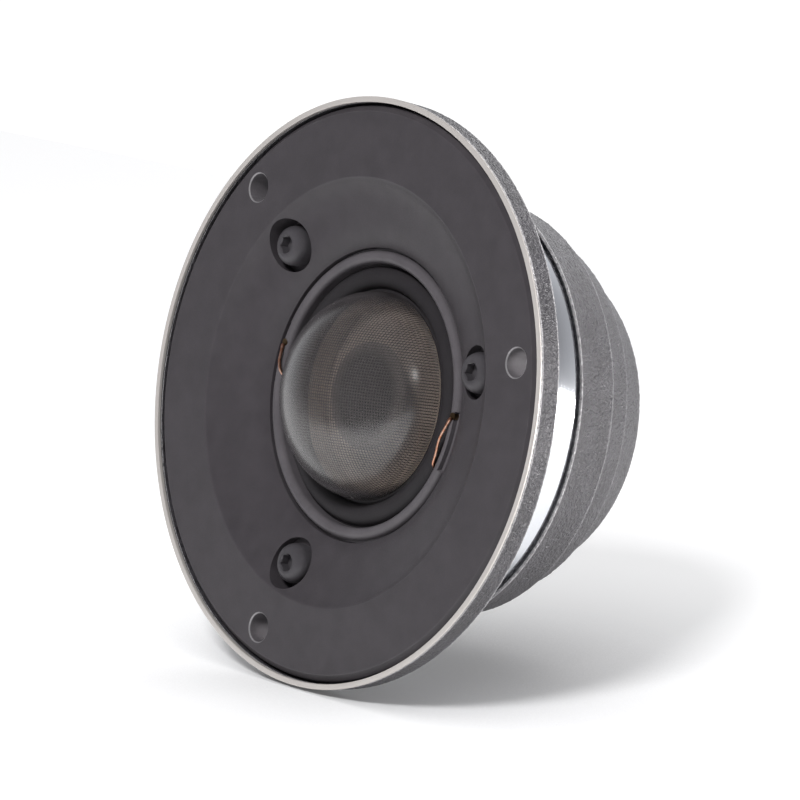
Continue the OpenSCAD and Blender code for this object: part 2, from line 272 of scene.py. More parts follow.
class Paint:
    """Builds one procedural material."""

    def __init__(self, name):
        self.material = bpy.data.materials.new(name)
        self.material.use_nodes = True
        self.tree = self.material.node_tree
        self.shader = self.tree.nodes["Principled BSDF"]
        self.place = self.add("ShaderNodeTexCoord").outputs["Object"]
        self.normal = None

    def add(self, kind, **values):
        node = self.tree.nodes.new(kind)
        for key, value in values.items():
            setattr(node, key, value)
        return node

    def link(self, a, b):
        self.tree.links.new(a, b)

    def math(self, kind, a, b=0.5):
        node = self.add("ShaderNodeMath", operation=kind)
        for k, x in enumerate((a, b)):
            if isinstance(x, (int, float)):
                node.inputs[k].default_value = x
            else:
                self.link(x, node.inputs[k])
        return node.outputs[0]

    def noise(self, size, detail=3.0, rough=0.55, place=None, warp=0.0):
        """Noise whose features are size millimetres across."""
        node = self.add("ShaderNodeTexNoise")
        node.inputs["Scale"].default_value = 1 / (size * MM)
        node.inputs["Detail"].default_value = detail
        node.inputs["Roughness"].default_value = rough
        node.inputs["Distortion"].default_value = warp
        self.link(place or self.place, node.inputs["Vector"])
        return node.outputs[0]

    def cells(self, size):
        """Distance from the middles of cells that are size millimetres across."""
        node = self.add("ShaderNodeTexVoronoi", feature="F1")
        node.inputs["Scale"].default_value = 1 / (size * MM)
        self.link(self.place, node.inputs["Vector"])
        return node.outputs["Distance"]

    def turned(self):
        """Coordinates that only change with radius and depth, for lathe marks."""
        split = self.add("ShaderNodeSeparateXYZ")
        self.link(self.place, split.inputs[0])
        x2 = self.math("MULTIPLY", split.outputs[0], split.outputs[0])
        z2 = self.math("MULTIPLY", split.outputs[2], split.outputs[2])
        radius = self.math("SQRT", self.math("ADD", x2, z2))
        join = self.add("ShaderNodeCombineXYZ")
        self.link(radius, join.inputs[0])
        self.link(split.outputs[1], join.inputs[1])
        return join.outputs[0]

    def ranged(self, value, low, high, start=0.0, end=1.0):
        """The value stretched from start-end to low-high, and held there outside."""
        node = self.add("ShaderNodeMapRange")
        self.link(value, node.inputs["Value"])
        for key, x in zip(("From Min", "From Max", "To Min", "To Max"), (start, end, low, high)):
            node.inputs[key].default_value = x
        return node.outputs[0]

    def mixed(self, value, a, b):
        node = self.add("ShaderNodeMix", data_type="RGBA")
        self.link(value, node.inputs["Factor"])
        node.inputs["A"].default_value = a
        node.inputs["B"].default_value = b
        return node.outputs["Result"]

    def colour(self, value, a, b, edge_highlight_colour=None, highlight_strength=0.6):
        """Mottled colour, with a painted highlight on edges that turn sharply outwards."""
        base = self.mixed(value, a, b)
        if edge_highlight_colour:
            # Painted edge highlight: the colour moves towards a light one where the edge mask is high
            node = self.add("ShaderNodeAttribute", attribute_name="edge_highlight")
            uneven = self.ranged(self.noise(0.5), 0.5 * highlight_strength, highlight_strength, 0.35, 0.65)
            mix = self.add("ShaderNodeMix", data_type="RGBA")
            self.link(self.math("MULTIPLY", node.outputs["Fac"], uneven), mix.inputs["Factor"])
            self.link(base, mix.inputs["A"])
            mix.inputs["B"].default_value = edge_highlight_colour
            base = mix.outputs["Result"]
        self.link(base, self.shader.inputs["Base Color"])

    def roughness(self, value, low, high):
        self.link(self.ranged(value, low, high, 0.25, 0.75), self.shader.inputs["Roughness"])

    def bump(self, height, depth, strength=1.0):
        """Bump of depth millimetres."""
        node = self.add("ShaderNodeBump")
        node.inputs["Strength"].default_value = strength
        node.inputs["Distance"].default_value = depth * MM
        self.link(height, node.inputs["Height"])
        if self.normal:
            self.link(self.normal, node.inputs["Normal"])
        self.normal = node.outputs[0]
        self.link(self.normal, self.shader.inputs["Normal"])

    def set(self, **values):
        names = {"metal": "Metallic", "level": "Specular IOR Level", "coat": "Coat Weight", "ior": "IOR",
                 "coat_rough": "Coat Roughness", "sheen": "Sheen Weight", "sheen_rough": "Sheen Roughness"}
        for key, value in values.items():
            self.shader.inputs[names[key]].default_value = value


def plain(name, colour, rough, metal=0.0, grain=0.15, depth=0.004, vary=0.15, blotch=4.0, **more):
    """A finish with mottled colour, uneven roughness and a fine grain."""
    p = Paint(name)
    broad = p.noise(blotch)
    tight = p.noise(grain)
    # The lighter colour given for edges is a painted edge highlight
    p.colour(p.ranged(broad, 0, 1, 0.3, 0.7), shade(colour, 1 - vary), shade(colour, 1 + vary),
             edge_highlight_colour=shade(colour, 1.8), highlight_strength=0.35)
    p.roughness(tight, rough * 0.85, min(1, rough * 1.15))
    p.bump(tight, depth)
    p.set(metal=metal, **more)
    return p.material


def turned_metal(name, colour, rough, line=0.08, depth=0.003, vary=0.08, metal=1.0, **more):
    """Metal with the fine rings a lathe leaves."""
    p = Paint(name)
    rings = p.noise(line, 2.0, place=p.turned())
    broad = p.noise(6.0)
    p.colour(p.ranged(broad, 0, 1, 0.3, 0.7), shade(colour, 1 - vary), shade(colour, 1 + vary))
    p.roughness(rings, rough * 0.8, min(1, rough * 1.2))
    p.bump(rings, depth)
    p.set(metal=metal, **more)
    return p.material


def cast_paint():
    """Black wrinkle paint over a casting, with painted highlights along its edges."""
    p = Paint("cast_black")
    broad = p.noise(3.0)
    tight = p.noise(0.22, 4.0)
    # The pale grey given for edges is a painted edge highlight
    p.colour(p.ranged(broad, 0, 1, 0.3, 0.7), linear(50, 48, 51), linear(64, 62, 66),
             edge_highlight_colour=linear(200, 198, 200), highlight_strength=0.8)
    p.roughness(tight, 0.32, 0.48)
    p.bump(p.noise(0.5, 2.0, 0.6, warp=0.6), 0.45)
    p.bump(tight, 0.08)
    p.set(level=0.7)
    return p.material


CAST = cast_paint()
PLATE = plain("plate_black", linear(54, 51, 54), 0.5, grain=0.16, depth=0.012, vary=0.1, blotch=2.5)
TRIM = turned_metal("bright_trim", linear(196, 191, 187), 0.4, line=0.12, depth=0.002, vary=0.03, metal=0.45)
SCREW = plain("screw_black", linear(60, 58, 61), 0.42, metal=0.1, grain=0.3, depth=0.008)
LIP = plain("lip_black", linear(72, 69, 72), 0.42, grain=0.2, depth=0.004)
# The plate's black made lighter for the walls inside the holes: painted light in their shade
HOLE_WALL_LIGHTENED = plain("bore_painted_lighter", linear(78, 75, 78), 0.8, grain=0.3, depth=0.01)
# Light grey on the holes' chamfered mouths: a painted highlight
CHAMFER_HIGHLIGHT = plain("chamfer_painted_highlight", linear(140, 138, 140), 0.35, metal=0.5, grain=0.2, depth=0.004)
FRAME = plain("frame_black", linear(34, 34, 35), 0.5, grain=0.25, depth=0.01)
BRASS = turned_metal("brass", linear(120, 100, 74), 0.4)
STEEL = turned_metal("zinc_steel", linear(196, 198, 200), 0.34, line=0.15, depth=0.004)
NICKEL = plain("magnet_nickel", linear(150, 150, 153), 0.32, metal=1.0, grain=0.2, depth=0.003)
COPPER = plain("copper", linear(222, 204, 190), 0.5, metal=0.0, grain=0.3, depth=0.004)
CHROME = turned_metal("sleeve_chrome", linear(238, 240, 244), 0.1, line=0.3, depth=0.0006, vary=0.02)
PLASTIC = plain("terminal_black", linear(34, 34, 36), 0.45, grain=0.2, depth=0.008)
GOLD = plain("terminal_gold", linear(226, 186, 96), 0.24, metal=1.0, grain=0.4, depth=0.002, vary=0.06)
TIN = plain("terminal_tin", linear(206, 207, 208), 0.3, metal=1.0, grain=0.4, depth=0.003, vary=0.06)
RED_WIRE = plain("wire_red", linear(170, 26, 24), 0.4, grain=0.3, depth=0.004)
BLACK_WIRE = plain("wire_black", linear(28, 28, 30), 0.4, grain=0.3, depth=0.004)
AMBER = plain("former_amber", linear(218, 202, 188), 0.4, grain=0.5, depth=0.001, coat=0.4)


def felt(name, low, high, fuzz, fade=None):
    """Matted hairs. fade(paint, hairs) says where the felt turns from the low to the high colour."""
    p = Paint(name)
    hairs = p.noise(0.12, 5.0, 0.7, warp=2.0)
    p.colour(fade(p, hairs) if fade else p.ranged(hairs, 0, 1, 0.3, 0.7), low, high)
    p.roughness(hairs, 0.85, 1.0)
    p.bump(hairs, 0.06)
    p.set(sheen=fuzz, sheen_rough=0.6)
    return p.material


def towards_rim(p, hairs):
    """Rises from the middle of the damper's disc to its cut edge."""
    split = p.add("ShaderNodeSeparateXYZ")
    p.link(p.turned(), split.inputs[0])
    return p.math("ADD", p.ranged(split.outputs[0], 0, 1, 5.2 * MM, 7.4 * MM), p.ranged(hairs, -0.2, 0.2))


FELT = felt("felt_black", linear(40, 38, 39), linear(168, 158, 150), 0.25, towards_rim)
WHITE = linear(214, 210, 202)
WHITE_FELT = felt("felt_white", shade(WHITE, 0.55), shade(WHITE, 1.4), 0.1)


def foam():
    """Open-cell foam of the gasket."""
    p = Paint("foam_black")
    pores = p.cells(0.35)
    # Darker towards the middle of each cell: painted shade in the pores
    p.colour(p.ranged(pores, 0, 1, 0.0, 0.6), linear(20, 20, 20), linear(62, 62, 64))
    p.roughness(pores, 0.8, 0.95)
    p.bump(pores, 0.1)
    return p.material


FOAM = foam()


def winding():
    """Enamelled copper wire, one ring for each turn."""
    p = Paint("winding_copper")
    split = p.add("ShaderNodeSeparateXYZ")
    p.link(p.place, split.inputs[0])
    wire = 0.2 * MM
    turns = p.math("ABSOLUTE", p.math("SINE", p.math("MULTIPLY", split.outputs[1], math.pi / wire)))
    tint = p.noise(1.2)
    p.colour(p.ranged(tint, 0, 1, 0.3, 0.7), linear(176, 84, 34), linear(214, 124, 66))
    p.roughness(tint, 0.2, 0.34)
    p.bump(turns, 0.05)
    p.set(metal=0.9, coat=0.5, coat_rough=0.1)
    return p.material


WINDING = winding()


def lead_copper():
    """Fine bare copper."""
    p = Paint("lead_copper")
    tint = p.noise(0.5)
    p.colour(p.ranged(tint, 0, 1, 0.3, 0.7), linear(206, 128, 88), linear(244, 206, 184))
    p.roughness(tint, 0.26, 0.4)
    p.bump(p.noise(0.1), 0.01)
    p.set(metal=1.0)
    return p.material


LEAD = lead_copper()


def surround_skin():
    """Coated cloth of the half roll."""
    p = Paint("surround_black")
    tight = p.noise(0.18)
    p.colour(p.noise(2.0), linear(33, 31, 33), linear(42, 40, 42))
    p.roughness(tight, 0.6, 0.72)
    p.bump(tight, 0.006)
    p.set(level=0.3)
    return p.material


SURROUND = surround_skin()


def threads():
    """Silk thread of the dome."""
    p = Paint("dome_thread")
    tint = p.noise(0.8, 3.0)
    p.colour(p.ranged(tint, 0, 1, 0.3, 0.7), linear(84, 78, 76), linear(108, 102, 99))
    p.roughness(tint, 0.32, 0.45)
    p.bump(p.noise(0.05, 2.0), 0.01)
    p.set(sheen=0.5, sheen_rough=0.4)
    return p.material


def lacquer():
    """The damping coat on the dome: glossy, clear from the front and denser where it is seen edge on."""
    p = Paint("dome_coat")
    tint = p.noise(3.0)
    p.colour(p.ranged(tint, 0, 1, 0.3, 0.7), linear(46, 43, 44), linear(58, 55, 56))
    p.roughness(tint, 0.22, 0.28)
    p.bump(p.noise(0.3, 1.0), 0.003)
    facing = p.add("ShaderNodeLayerWeight").outputs["Facing"]
    p.link(p.ranged(facing, 0.3, 1, 0.45, 0.75), p.shader.inputs["Alpha"])
    p.set(ior=2.6)
    return p.material


THREAD = threads()
COAT = lacquer()


# ---------------------------------------------------------------- levels shared with the CAD model
FLANGE_R, _, FRONT = span("trim_ring")
PLATE_R, _, FACE = span("face_plate")
SLEEVE_R, SLEEVE_END, HUB_Z = span("motor_sleeve")
_, SHELL_END, _ = span("rear_shell")
_, _, DOME_TOP = span("dome")

FLANGE_LOW = 0
RIM = FRONT - 0.6                   # underside of the bright trim
RECESS_R, RECESS_Z = FLANGE_R - 0.78, 1.2
RECESS_IN = 38.6                    # where the flange's rim and body pieces meet
POCKET_R, POCKET_Z = 30.2, -1.9
PLATE_HUB_R = POCKET_R - 0.1
FLANGE_BORE = 20.2
HUB_R = 32
DISH_R, THROAT_R = 29.1, 20.0
THROAT_Z = FRONT - 4.4
THROAT_IN, THROAT_OUT = 17.9, 19.6

HOLE_ANGLES = (15, 135, 255)
PANEL_HOLES = ring_spots(35, HOLE_ANGLES)
SCREW_SPOTS = ring_spots(25.2, HOLE_ANGLES)
REAR_SPOTS = ring_spots(13.5, (75, 195, 315))
HOLE_R, HOLE_CHAMFER = 1.95, 0.16
CLEAR_R = 1.65                      # clearance of an M3 shank
COUNTERBORE_R, COUNTERBORE_Z = 3.6, -0.4

DOME_R = 14.2
DOME_Z = -2.1
DOME_H = DOME_TOP - DOME_Z
BOND_Z = DOME_Z - 0.2               # front face of the frame that the surround is glued to

CHAMBER_R, CHAMBER_Z = 22.4, -20.6
MOTOR_R, MOTOR_SEAT = 26.2, -13.85
BACK_R, BACK_EDGE_Z = 18.4, -33.25  # where the rear shell's skin and back pieces meet


def bezier(a, b, c, d, t):
    """Point at t on a cubic curve."""
    a, b, c, d = map(np.array, (a, b, c, d))
    return tuple((1 - t) ** 3 * a + 3 * (1 - t) ** 2 * t * b + 3 * (1 - t) * t * t * c + t ** 3 * d)


def wrinkle(size, height):
    """Relief of a wrinkle-painted casting: soft lumps with creases between them."""
    def relief(points):
        out = np.empty(len(points))
        for k, p in enumerate(points):
            q = Vector(p) / size
            bend = noise.noise(q * 0.45) * 0.7
            q = q + Vector((bend, -bend, bend * 0.6))
            lump = noise.noise(q) * 0.75 + noise.noise(q * 2.1) * 0.3
            out[k] = height * (1 - abs(lump) * 2.4)
        return out
    return relief


def masked(relief, weight):
    """The relief, faded by a weight from 0 to 1."""
    return lambda points: relief(points) * weight(points)


# ---------------------------------------------------------------- flange
ROUGH_SEGMENTS = 1250
ROUGH_STEP = 0.17
WRINKLE_SIZE, WRINKLE_HEIGHT = 0.45, 0.06
DRAFT = 0.29


def outer_side(points):
    """1 on the flange's outer side, where it is rough, and 0 inside the recess."""
    return np.clip((np.hypot(points[:, 0], points[:, 1]) - (RECESS_R - 0.02)) / 0.3, 0, 1)


side = rounded([
    (RECESS_IN, FLANGE_LOW), (FLANGE_R - DRAFT - WRINKLE_HEIGHT, FLANGE_LOW, 0.25),
    (FLANGE_R - WRINKLE_HEIGHT, FRONT - 0.3, 0.12), (FLANGE_R - 0.7, RIM - 0.12), (RECESS_R, RIM - 0.12),
    (RECESS_R, RECESS_Z), (RECESS_IN, RECESS_Z)])
rim = lathe("flange_rim", fine(side, ROUGH_STEP), ROUGH_SEGMENTS, sharp=60,
            relief=masked(wrinkle(WRINKLE_SIZE, WRINKLE_HEIGHT), outer_side))
fit(rim, CAST, "cast_black", "housing", "mounting_flange")

body = lathe("flange_body", rounded([
    (RECESS_IN, FLANGE_LOW), (RECESS_IN, RECESS_Z), (POCKET_R, RECESS_Z), (POCKET_R, POCKET_Z),
    (FLANGE_BORE, POCKET_Z), (FLANGE_BORE, HUB_Z), (HUB_R - 1.2, HUB_Z, 0.2), (HUB_R, HUB_Z + 1.2, 0.3),
    (HUB_R, FLANGE_LOW - 0.3), (HUB_R + 0.3, FLANGE_LOW, 0.1)]), 256)
cut(body, drill(HOLE_R, -2, 3, PANEL_HOLES), drill(CLEAR_R, -8, 1, SCREW_SPOTS))
fit(body, CAST, "cast_black", "housing", "mounting_flange")


def paint_light_in_holes(obj):
    """Panel hole walls painted lighter than the plate, as painted light against their shade, and a painted
    highlight on their chamfered mouths.
    """
    obj.data.materials.append(HOLE_WALL_LIGHTENED)
    obj.data.materials.append(CHAMFER_HIGHLIGHT)
    for face in obj.data.polygons:
        x, y, z = face.center.x / MM, face.center.z / MM, -face.center.y / MM
        reach = min(math.hypot(x - hole_x, y - hole_y) for hole_x, hole_y, _ in PANEL_HOLES)
        # Walls below the chamfer get the lightened colour, the chamfers the painted highlight
        if z < FACE - 0.02 and reach < HOLE_R + HOLE_CHAMFER:
            face.material_index = 1 if z < FACE - HOLE_CHAMFER else 2


paint_light_in_holes(body)

trim = lathe("trim_ring_bright", rounded([
    (RECESS_R, FRONT - 0.04, 0.1), (FLANGE_R - 0.02, FRONT - 0.05, 0.16), (FLANGE_R, RIM + 0.32, 0.1),
    (FLANGE_R - 0.55, RIM), (RECESS_R, RIM, 0.06)], 6), 512, sharp=50)
fit(trim, TRIM, "bright_trim", "housing", "trim_ring")

# ---------------------------------------------------------------- face plate
dish = [bezier((DISH_R, FACE), (DISH_R - 2.6, FACE - 2.3), (THROAT_R + 2.1, THROAT_Z + 2.4),
               (THROAT_R, THROAT_Z), i / 48) for i in range(49)]
back_side = [(THROAT_R, POCKET_Z), (PLATE_HUB_R, POCKET_Z), (PLATE_HUB_R, RECESS_Z)]
edge = rounded([(PLATE_R, RECESS_Z), (PLATE_R, FACE - 1, 0.15), (PLATE_R - 0.15, FACE - 0.65, 0.3),
                (PLATE_R - 0.9, FACE, 0.25), (DISH_R + 0.4, FACE)] + back_side[1:], 6)[:-3]
dish_lip = [(DISH_R + 0.12, FACE), (DISH_R + 0.04, FACE - 0.012)]
plate = lathe("face_plate_black", edge + dish_lip + dish[1:] + back_side, 384, sharp=28)
cut(plate, drill(HOLE_R, 0, FACE, PANEL_HOLES, HOLE_CHAMFER),
    drill(COUNTERBORE_R, COUNTERBORE_Z, FACE, SCREW_SPOTS, 0.08), drill(CLEAR_R, -3, 3, SCREW_SPOTS))
fit(plate, PLATE, "plate_black", "housing", "face_plate")
paint_light_in_holes(plate)


# ---------------------------------------------------------------- screws
HEAD_R, HEAD_H = 2.75, 3
HEAD_FLAT_R, HEAD_EDGE = 1.5, 1.4       # flat top round the hexagon, and straight side below the crown
HEX_R = 2.2 / 2 / math.cos(math.radians(30))
HEX_DEPTH = 1.4
SHANK_R = 1.45


def thread(radius, low, high, pitch=0.5, depth=0.25):
    """Outline of a threaded shank from its top down to its tip."""
    out, z = [], high
    while z > low + pitch:
        out += [(radius, z), (radius, z - pitch * 0.15), (radius - depth, z - pitch * 0.5),
                (radius, z - pitch * 0.85)]
        z -= pitch
    return out + [(radius - depth, low), (0, low)]


def screws(name, spots, base, tip, facing=1):
    """Round-topped screws with hexagon sockets; facing -1 points the heads backwards."""
    def at(height):
        return base + height * facing

    crown = []
    for k in range(17):
        a = PHI / 4 * k / 16
        crown.append((HEAD_FLAT_R + (HEAD_R - HEAD_FLAT_R) * math.cos(a),
                      base + facing * (HEAD_EDGE + (HEAD_H - HEAD_EDGE) * math.sin(a))))
    head = [(0, base), (HEAD_R - 0.08, base), (HEAD_R, base + 0.08 * facing)] + crown + [(0, at(HEAD_H))]
    shank = thread(SHANK_R, min(base, tip), max(base, tip))
    heads = lathe(name + "_head", head, 96, spots=spots)
    top = at(HEAD_H)
    bottom = top - HEX_DEPTH * facing
    hexagon = lathe("hexagon", [(0, bottom), (HEX_R, bottom), (HEX_R, top + facing), (0, top + facing)], 6,
                    spots=spots)
    mouth = lathe("mouth", [(0, top - 0.22 * facing), (1.1, top - 0.2 * facing), (1.42, top + 0.12 * facing),
                            (0, top + 0.1 * facing)], 64, spots=spots)
    cut(heads, hexagon, mouth)
    return joined(name, heads, lathe(name + "_shank", [(0, max(base, tip))] + shank, 48, spots=spots))


front_screws = screws("face_screws_set", SCREW_SPOTS, COUNTERBORE_Z, -9.8)
fit(front_screws, SCREW, "screw_black", "housing", "face_screws")

# ---------------------------------------------------------------- throat ring
LIP_MID, LIP_ROUND, LIP_TOP = 18.75, 0.85, -0.4
SHELF_R, SHELF_Z = 19.05, -1.15
SHELVES = ((158, 183), (337, 362))


def lip_shape(r, a, z):
    """Cuts the two shelves for the leads into the ring's outer side."""
    degrees = np.degrees(a) % 360
    low = np.zeros(r.shape, bool)
    for start, end in SHELVES:
        low |= ((degrees - start) % 360) < end - start
    drop = low & (r > SHELF_R)
    return r, np.where(drop, np.minimum(z, SHELF_Z), z)


def lip_arc(r):
    """Height of the ring's round top at radius r."""
    return LIP_TOP - LIP_ROUND + math.sqrt(max(0, LIP_ROUND ** 2 - (r - LIP_MID) ** 2))


lip_outline = [(THROAT_OUT, BOND_Z)]
for i in range(33):
    a = math.pi * i / 32
    lip_outline.append((LIP_MID + LIP_ROUND * math.cos(a), LIP_TOP - LIP_ROUND + LIP_ROUND * math.sin(a)))
lip_outline += [(r, lip_arc(r)) for r in (SHELF_R + 0.015, SHELF_R - 0.015)]
foot = [(THROAT_R - 0.05, BOND_Z), (THROAT_R - 0.05, -1.46), (THROAT_R - 0.11, -1.4), (THROAT_OUT, -1.4)]
lip_outline = foot + sorted(lip_outline[1:], key=lambda q: -q[0]) + [(THROAT_IN, BOND_Z)]
lip = lathe("throat_ring_black", lip_outline, 720, sharp=40, shape=lip_shape)
fit(lip, LIP, "lip_black", "housing", "throat_ring")

# ---------------------------------------------------------------- surround
ROLL_IN, ROLL_OUT, ROLL_H = 14.6, 17.5, 1.3
roll_mid, roll_w = (ROLL_IN + ROLL_OUT) / 2, (ROLL_OUT - ROLL_IN) / 2


def arch(width, height, z, steps=40):
    """Half roll between the dome and the frame."""
    return [(roll_mid + width * math.cos(math.pi * k / steps), z + height * math.sin(math.pi * k / steps))
            for k in range(steps + 1)]


roll = [(19.5, BOND_Z - 0.3), (19.5, BOND_Z), (ROLL_OUT + 0.12, BOND_Z)] + arch(roll_w, ROLL_H, BOND_Z + 0.02)
roll += [(14.12, BOND_Z), (14.12, BOND_Z - 0.3), (ROLL_IN + 0.2, BOND_Z - 0.3)]
roll += arch(roll_w - 0.25, ROLL_H - 0.28, BOND_Z)[::-1] + [(ROLL_OUT - 0.2, BOND_Z - 0.3)]
surround = lathe("surround_roll", roll, 360, sharp=50)
surround.data.materials.append(SURROUND)


def soft_link(obj, weigh):
    """Bakes the piece's transform into its mesh and works out its weights, 0 for the housing and 1 for the
    diaphragm; the weights are not kept.
    """
    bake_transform(obj)
    co = np.empty(len(obj.data.vertices) * 3, np.float32)
    obj.data.vertices.foreach_get("co", co)
    co = co.reshape(-1, 3)
    weigh(co / MM).astype(np.float32)


def eased(t):
    """Smooth step from 0 to 1."""
    t = np.clip(t, 0, 1)
    return t * t * (3 - 2 * t)


def roll_weight(p):
    """0 at the roll's outer edge and 1 at its inner edge."""
    return eased((ROLL_OUT + 0.1 - np.hypot(p[:, 0], p[:, 2])) / (ROLL_OUT - ROLL_IN + 0.2))


soft_link(surround, roll_weight)
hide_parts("surround")

# ---------------------------------------------------------------- dome
THREAD_STEPS = 54
THREAD_SHARE = 0.19                 # half a thread's width, as a share of the gap between threads
THREAD_DEPTH, THREAD_WAVE, THREAD_HALF = 0.11, 0.03, 0.035
WEAVE_TURN = math.radians(3.6)


def dome_point(u, v, below):
    """Point on the dome over (u, v), moved inwards along the normal."""
    s = math.sqrt(max(0.0, 1 - (u * u + v * v) / DOME_R ** 2))
    normal = Vector((u / DOME_R ** 2, v / DOME_R ** 2, s / DOME_H))
    normal.normalize()
    return Vector((u, v, DOME_Z + DOME_H * s)) - normal * below, normal


def weave():
    """Warp and weft threads that pass over and under each other."""
    places = [DOME_R * math.sin(math.pi / 2 * (k + 0.5) / THREAD_STEPS * 0.985) for k in range(THREAD_STEPS)]
    places = [-x for x in reversed(places)] + places
    verts, faces = [], []
    for family in (0, 1):
        for i, u in enumerate(places):
            half = math.sqrt(DOME_R ** 2 - u * u) * 0.9995
            crossings = [(v, 1 if (i + j + family) % 2 else -1)
                         for j, v in enumerate(places) if abs(v) < half]
            along = [(-half, 0)] + crossings + [(half, 0)]
            gap = abs(places[min(i + 1, len(places) - 1)] - places[max(i - 1, 0)]) / 2
            width = THREAD_SHARE * max(gap, 0.05)
            start = len(verts)
            points = []
            for v, lift in along:
                a, b = (u, v) if family == 0 else (v, u)
                points.append(dome_point(a, b, THREAD_DEPTH - THREAD_WAVE * lift))
            for k, (p, normal) in enumerate(points):
                ahead = points[min(k + 1, len(points) - 1)][0] - points[max(k - 1, 0)][0]
                across = ahead.cross(normal).normalized()
                for side_way, up in ((width, 0), (0, THREAD_HALF), (-width, 0), (0, -THREAD_HALF)):
                    verts.append(p + across * side_way + normal * up)
            for k in range(len(points) - 1):
                ring = start + 4 * k
                for m in range(4):
                    n = (m + 1) % 4
                    faces.append((ring + m, ring + n, ring + 4 + n, ring + 4 + m))
            last = start + 4 * (len(points) - 1)
            faces.append((start + 3, start + 2, start + 1, start))
            faces.append((last, last + 1, last + 2, last + 3))
    turn = Matrix.Rotation(WEAVE_TURN, 3, "Z")
    return make("dome_weave", [turn @ v for v in verts], faces, sharp=180, merge=False, outward=False)


fabric = weave()
fit(fabric, THREAD, "dome_fabric", "diaphragm", "dome")


def dome_arc(drop, steps=64):
    """Half outline of the dome, moved in by drop."""
    return [((DOME_R - drop) * math.cos(math.pi / 2 * k / steps),
             DOME_Z + (DOME_H - drop) * math.sin(math.pi / 2 * k / steps)) for k in range(steps + 1)]


coat = lathe("dome_coat", dome_arc(0.0) + dome_arc(0.03)[::-1], 256, sharp=60)
fit(coat, COAT, "dome_fabric", "diaphragm", "dome")
skirt = lathe("dome_skirt", rounded([
    (14.5, BOND_Z), (14.5, DOME_Z, 0.1), (14.22, DOME_Z + 0.12, 0.05), (13.95, DOME_Z), (13.8, BOND_Z)]),
    256, sharp=50)
fit(skirt, SURROUND, "dome_fabric", "diaphragm", "dome")

# ---------------------------------------------------------------- coil leads
LEAD_R = 0.2
LEAD_POSITIVE = [                   # radius, degrees and height
    (14.35, 322, -4.6), (15.3, 325.5, -4.3), (16.5, 330, -3.5), (17.1, 333.5, -2.3), (17.25, 336.5, -1.1),
    (17.3, 342, -0.7), (17.4, 348.5, -0.35), (18.2, 354.5, -0.05), (18.8, 359.5, -0.18)]
LEAD_NEGATIVE = [
    (14.35, 196, -4.6), (15.3, 192.5, -4.3), (16.5, 188, -3.5), (17.1, 184.5, -2.3), (17.3, 181.5, -1.1),
    (17.9, 178, -0.25), (18.3, 174, 0), (18.4, 170.5, 0), (18.75, 166.5, -0.18)]


def smooth_path(points, steps=10):
    """Smooth curve through points given as radius, degrees and height."""
    p = [Vector((r * math.cos(math.radians(a)), r * math.sin(math.radians(a)), z)) for r, a, z in points]
    out = []
    for k in range(len(p) - 1):
        a, b, c, d = p[max(k - 1, 0)], p[k], p[k + 1], p[min(k + 2, len(p) - 1)]
        for m in range(steps):
            t = m / steps
            square, cube = 2 * a - 5 * b + 4 * c - d, 3 * b - a - 3 * c + d
            out.append(b + t / 2 * ((c - a) + t * (square + t * cube)))
    return out + [p[-1]]


def tube(name, path, radius, sides=16):
    """Round tube along a path, with closed, swollen ends where it is glued and soldered."""
    verts, faces = [], []
    n = len(path)
    for k, p in enumerate(path):
        along = (path[min(k + 1, n - 1)] - path[max(k - 1, 0)]).normalized()
        across = along.cross(Vector((0, 0, 1))).normalized()
        up = across.cross(along)
        end = min(k, n - 1 - k)
        r = radius * (0.55 + 0.45 * min(1, end / 2)) * (1 + 0.25 * math.exp(-((end - 3) / 2.5) ** 2))
        for s in range(sides):
            a = PHI * s / sides
            verts.append(p + r * (math.cos(a) * across + math.sin(a) * up))
    for k in range(n - 1):
        for s in range(sides):
            t = (s + 1) % sides
            faces.append((k * sides + s, k * sides + t, (k + 1) * sides + t, (k + 1) * sides + s))
    faces += [tuple(range(sides)), tuple(range((n - 1) * sides, n * sides))]
    return make(name, verts, faces, sharp=60, merge=False)


for name, points in (("lead_positive", LEAD_POSITIVE), ("lead_negative", LEAD_NEGATIVE)):
    path = smooth_path(points)
    lead = tube(name, path, LEAD_R)
    lead.data.materials.append(LEAD)
    way = np.array([list(p) for p in path])
    share = np.linspace(0, 1, len(way))

    def weigh(p, way=way, share=share):
        part = np.stack([p[:, 0], p[:, 2], -p[:, 1]], 1)
        near = np.argmin(((part[:, None, :] - way[None]) ** 2).sum(-1), 1)
        return eased(1 - share[near])

    soft_link(lead, weigh)
    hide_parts("coil_leads")

# ---------------------------------------------------------------- sleeve and rear shell
SLEEVE_IN = SLEEVE_R - 0.69
sleeve = lathe("motor_sleeve_polished", rounded([
    (SLEEVE_IN, SLEEVE_END), (SLEEVE_R, SLEEVE_END, 0.1), (SLEEVE_R, HUB_Z - 0.02, 0.25),
    (SLEEVE_IN, HUB_Z - 0.02, 0.1)], 8), 512, sharp=50)
fit(sleeve, CHROME, "sleeve_chrome", "housing", "motor_sleeve")

